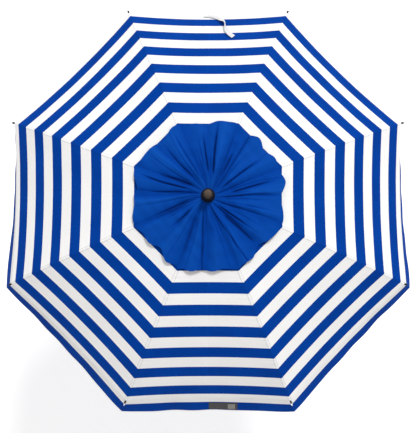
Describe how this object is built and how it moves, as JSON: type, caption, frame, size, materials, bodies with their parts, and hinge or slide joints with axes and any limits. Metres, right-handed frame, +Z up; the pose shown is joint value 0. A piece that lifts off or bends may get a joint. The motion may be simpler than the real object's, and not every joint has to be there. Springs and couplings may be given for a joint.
{
  "type": "beach umbrella",
  "caption": "Open straight-pole beach umbrella with a vented, striped canopy and valance, curved ribs, struts, a sliding runner and a pointed two-piece wooden pole.",
  "frame": {"origin": "the blunt end of the pole's point, on the pole's axis", "axes": "+Z up along the pole towards the finial, -Y towards the side where the valance flares out, +X to the right of that"},
  "size_m": [2.0402, 2.0303, 2.3117],
  "materials": {
    "varnished_ash": "satin varnish",
    "ferrule_metal": "satin",
    "black_nylon": "moulded",
    "pin_steel": "bright",
    "rib_fibreglass": "pultruded",
    "painted_steel": "black paint",
    "striped_fabric": "woven blue and white stripe",
    "blue_fabric": "woven blue",
    "white_webbing": "woven webbing"
  },
  "bodies": {
    "lower_pole": {"lower_pole": "varnished_ash", "pole_ferrule": "ferrule_metal"},
    "ferrule_knob": {"ferrule_knob": "black_nylon"},
    "upper_pole": {"upper_pole": "varnished_ash", "crown_hub": "black_nylon", "crown_pins": "pin_steel", "finial_collar": "black_nylon", "finial_knob": "varnished_ash"},
    "rib_1": {"rib_1": "rib_fibreglass", "rib_tip_1": "black_nylon", "canopy_1": "striped_fabric", "vent_1": "blue_fabric", "valance_1": "striped_fabric"},
    "strut_1": {"strut_1": "painted_steel"},
    "rib_2": {"rib_2": "rib_fibreglass", "rib_tip_2": "black_nylon", "canopy_2": "striped_fabric", "vent_2": "blue_fabric", "valance_2": "striped_fabric", "closing_strap": "white_webbing"},
    "strut_2": {"strut_2": "painted_steel"},
    "rib_3": {"rib_3": "rib_fibreglass", "rib_tip_3": "black_nylon", "canopy_3": "striped_fabric", "vent_3": "blue_fabric", "valance_3": "striped_fabric"},
    "strut_3": {"strut_3": "painted_steel"},
    "rib_4": {"rib_4": "rib_fibreglass", "rib_tip_4": "black_nylon", "canopy_4": "striped_fabric", "vent_4": "blue_fabric", "valance_4": "striped_fabric"},
    "strut_4": {"strut_4": "painted_steel"},
    "rib_5": {"rib_5": "rib_fibreglass", "rib_tip_5": "black_nylon", "canopy_5": "striped_fabric", "vent_5": "blue_fabric", "valance_5": "striped_fabric"},
    "strut_5": {"strut_5": "painted_steel"},
    "rib_6": {"rib_6": "rib_fibreglass", "rib_tip_6": "black_nylon", "canopy_6": "striped_fabric", "vent_6": "blue_fabric", "valance_6": "striped_fabric"},
    "strut_6": {"strut_6": "painted_steel"},
    "rib_7": {"rib_7": "rib_fibreglass", "rib_tip_7": "black_nylon", "canopy_7": "striped_fabric", "vent_7": "blue_fabric", "valance_7": "striped_fabric"},
    "strut_7": {"strut_7": "painted_steel"},
    "rib_8": {"rib_8": "rib_fibreglass", "rib_tip_8": "black_nylon", "canopy_8": "striped_fabric", "vent_8": "blue_fabric", "valance_8": "striped_fabric"},
    "strut_8": {"strut_8": "painted_steel"},
    "runner": {"runner": "black_nylon", "runner_pins": "pin_steel"},
    "runner_knob": {"runner_knob": "black_nylon"}
  },
  "joints": [
    {"name": "pole_join", "type": "slide", "parent": "lower_pole", "child": "upper_pole", "axis": [0, 0, 1], "range_m": [0, 0.1]},
    {"name": "ferrule_knob_turn", "type": "hinge", "parent": "lower_pole", "child": "ferrule_knob", "pos_m": [0, 0, 1.055], "axis": [1, 0, 0], "range_deg": [0, 360]},
    {"name": "rib_1_fold", "type": "hinge", "parent": "upper_pole", "child": "rib_1", "pos_m": [0.03141, 0.01301, 2.2], "axis": [-0.3827, 0.9239, 0], "range_deg": [0, 66], "deforming": ["canopy_1", "vent_1", "valance_1"]},
    {"name": "strut_1_swing", "type": "hinge", "parent": "rib_1", "child": "strut_1", "pos_m": [0.50017, 0.20718, 2.10726], "axis": [-0.3827, 0.9239, 0], "range_deg": [-132, 0]},
    {"name": "rib_2_fold", "type": "hinge", "parent": "upper_pole", "child": "rib_2", "pos_m": [0.01301, 0.03141, 2.2], "axis": [-0.9239, 0.3827, 0], "range_deg": [0, 66], "deforming": ["canopy_2", "vent_2", "valance_2", "closing_strap"]},
    {"name": "strut_2_swing", "type": "hinge", "parent": "rib_2", "child": "strut_2", "pos_m": [0.20718, 0.50017, 2.10726], "axis": [-0.9239, 0.3827, 0], "range_deg": [-132, 0]},
    {"name": "rib_3_fold", "type": "hinge", "parent": "upper_pole", "child": "rib_3", "pos_m": [-0.01301, 0.03141, 2.2], "axis": [-0.9239, -0.3827, 0], "range_deg": [0, 66], "deforming": ["canopy_3", "vent_3", "valance_3"]},
    {"name": "strut_3_swing", "type": "hinge", "parent": "rib_3", "child": "strut_3", "pos_m": [-0.20718, 0.50017, 2.10726], "axis": [-0.9239, -0.3827, 0], "range_deg": [-132, 0]},
    {"name": "rib_4_fold", "type": "hinge", "parent": "upper_pole", "child": "rib_4", "pos_m": [-0.03141, 0.01301, 2.2], "axis": [-0.3827, -0.9239, 0], "range_deg": [0, 66], "deforming": ["canopy_4", "vent_4", "valance_4"]},
    {"name": "strut_4_swing", "type": "hinge", "parent": "rib_4", "child": "strut_4", "pos_m": [-0.50017, 0.20718, 2.10726], "axis": [-0.3827, -0.9239, 0], "range_deg": [-132, 0]},
    {"name": "rib_5_fold", "type": "hinge", "parent": "upper_pole", "child": "rib_5", "pos_m": [-0.03141, -0.01301, 2.2], "axis": [0.3827, -0.9239, 0], "range_deg": [0, 66], "deforming": ["canopy_5", "vent_5", "valance_5"]},
    {"name": "strut_5_swing", "type": "hinge", "parent": "rib_5", "child": "strut_5", "pos_m": [-0.50017, -0.20718, 2.10726], "axis": [0.3827, -0.9239, 0], "range_deg": [-132, 0]},
    {"name": "rib_6_fold", "type": "hinge", "parent": "upper_pole", "child": "rib_6", "pos_m": [-0.01301, -0.03141, 2.2], "axis": [0.9239, -0.3827, 0], "range_deg": [0, 66], "deforming": ["canopy_6", "vent_6", "valance_6"]},
    {"name": "strut_6_swing", "type": "hinge", "parent": "rib_6", "child": "strut_6", "pos_m": [-0.20718, -0.50017, 2.10726], "axis": [0.9239, -0.3827, 0], "range_deg": [-132, 0]},
    {"name": "rib_7_fold", "type": "hinge", "parent": "upper_pole", "child": "rib_7", "pos_m": [0.01301, -0.03141, 2.2], "axis": [0.9239, 0.3827, 0], "range_deg": [0, 66], "deforming": ["canopy_7", "vent_7", "valance_7"]},
    {"name": "strut_7_swing", "type": "hinge", "parent": "rib_7", "child": "strut_7", "pos_m": [0.20718, -0.50017, 2.10726], "axis": [0.9239, 0.3827, 0], "range_deg": [-132, 0]},
    {"name": "rib_8_fold", "type": "hinge", "parent": "upper_pole", "child": "rib_8", "pos_m": [0.03141, -0.01301, 2.2], "axis": [0.3827, 0.9239, 0], "range_deg": [0, 66], "deforming": ["canopy_8", "vent_8", "valance_8"]},
    {"name": "strut_8_swing", "type": "hinge", "parent": "rib_8", "child": "strut_8", "pos_m": [0.50017, -0.20718, 2.10726], "axis": [0.3827, 0.9239, 0], "range_deg": [-132, 0]},
    {"name": "runner_pivot", "type": "hinge", "parent": "strut_1", "child": "runner", "pos_m": [0.03141, 0.01301, 2.01453], "axis": [-0.3827, 0.9239, 0], "range_deg": [0, 66]},
    {"name": "runner_knob_turn", "type": "hinge", "parent": "runner", "child": "runner_knob", "pos_m": [0, 0, 1.97653], "axis": [1, 0, 0], "range_deg": [0, 360]}
  ],
  "couplings": [
    {"joint": "strut_1_swing", "follows": "rib_1_fold", "ratio": -2},
    {"joint": "rib_2_fold", "follows": "rib_1_fold", "ratio": 1},
    {"joint": "strut_2_swing", "follows": "rib_1_fold", "ratio": -2},
    {"joint": "rib_3_fold", "follows": "rib_1_fold", "ratio": 1},
    {"joint": "strut_3_swing", "follows": "rib_1_fold", "ratio": -2},
    {"joint": "rib_4_fold", "follows": "rib_1_fold", "ratio": 1},
    {"joint": "strut_4_swing", "follows": "rib_1_fold", "ratio": -2},
    {"joint": "rib_5_fold", "follows": "rib_1_fold", "ratio": 1},
    {"joint": "strut_5_swing", "follows": "rib_1_fold", "ratio": -2},
    {"joint": "rib_6_fold", "follows": "rib_1_fold", "ratio": 1},
    {"joint": "strut_6_swing", "follows": "rib_1_fold", "ratio": -2},
    {"joint": "rib_7_fold", "follows": "rib_1_fold", "ratio": 1},
    {"joint": "strut_7_swing", "follows": "rib_1_fold", "ratio": -2},
    {"joint": "rib_8_fold", "follows": "rib_1_fold", "ratio": 1},
    {"joint": "strut_8_swing", "follows": "rib_1_fold", "ratio": -2},
    {"joint": "runner_pivot", "follows": "rib_1_fold", "ratio": 1}
  ]
}
